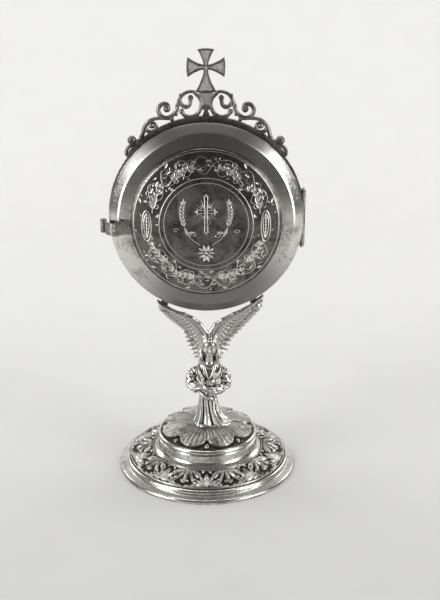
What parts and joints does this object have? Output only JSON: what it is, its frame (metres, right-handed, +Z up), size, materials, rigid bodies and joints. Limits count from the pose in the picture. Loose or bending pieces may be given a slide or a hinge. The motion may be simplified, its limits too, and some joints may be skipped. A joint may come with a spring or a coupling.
{
  "type": "monstrance",
  "caption": "Small silver monstrance: round chased base, winged angel stem, flat round case with a hinged engraved cover and hasp, scroll cresting and cross.",
  "frame": {"origin": "on the table plane, under the centre of the round base", "axes": "+Z up, towards the cross; the cover faces -Y; +X to the viewer's right, the side of the cover's hinge"},
  "size_m": [0.1144, 0.1048, 0.2411],
  "materials": {
    "silver_bright": "silver-plated, polished, with tarnish",
    "silver_chased": "silver-plated, chased and engraved, dark in the hollows",
    "silver_cast": "silver-plated casting, bright on the high places",
    "silver_dark": "silver-plated, tarnished",
    "silver_matte": "silver-plated, matted with a grain punch",
    "gilt_inside": "gilt, satin",
    "fastener": "plain brass, dull",
    "pane": "clear flat glass"
  },
  "bodies": {
    "stand": {"base_flange": "silver_bright", "base_relief_band": "silver_chased", "base_step": "silver_bright", "base_dome": "silver_chased", "base_stud": "fastener", "base_washer": "fastener", "base_nut": "fastener", "angel_robe": "silver_cast", "angel_torso": "silver_cast", "angel_head": "silver_cast", "angel_arm_left": "silver_cast", "angel_arm_right": "silver_cast", "angel_wing_left": "silver_cast", "angel_wing_right": "silver_cast", "wing_screws": "fastener", "case_cradle": "silver_dark", "cradle_screws": "fastener", "case_band": "silver_dark", "case_back": "silver_dark", "case_hinge": "silver_dark", "lid_hinge_pin": "fastener", "catch_nib": "silver_dark", "lunette_seat": "gilt_inside", "lunette_foot": "gilt_inside", "lunette_front_ring": "gilt_inside", "lunette_back_ring": "gilt_inside", "lunette_front_glass": "pane", "lunette_back_glass": "pane", "button_rivet": "gilt_inside", "crest_rail": "silver_dark", "crest_scroll_left": "silver_dark", "crest_scroll_right": "silver_dark", "crest_ball_left": "silver_dark", "crest_ball_right": "silver_dark", "cross_frame": "silver_dark", "cross_inlay": "silver_matte", "cross_plinth": "silver_matte", "cross_tie": "silver_dark", "cross_strut": "silver_dark"},
    "lid": {"lid_panel": "silver_chased", "lid_bezel": "silver_bright", "lid_hinge_knuckles": "silver_dark", "hasp_leaf": "silver_dark", "hasp_pin": "fastener"},
    "hasp": {"hasp_strap": "silver_dark"},
    "button": {"lunette_button": "gilt_inside"}
  },
  "joints": [
    {"name": "lid_hinge", "type": "hinge", "parent": "stand", "child": "lid", "pos_m": [0.0536, 0.0046, 0.14925], "axis": [0, 0, 1], "range_deg": [0, 130]},
    {"name": "hasp_hinge", "type": "hinge", "parent": "lid", "child": "hasp", "pos_m": [-0.05, -0.0063, 0.145], "axis": [0, 0, 1], "range_deg": [0, 100]},
    {"name": "button_turn", "type": "hinge", "parent": "stand", "child": "button", "pos_m": [0, -0.00215, 0.19275], "axis": [0, 1, 0], "range_deg": [0, 90]}
  ]
}
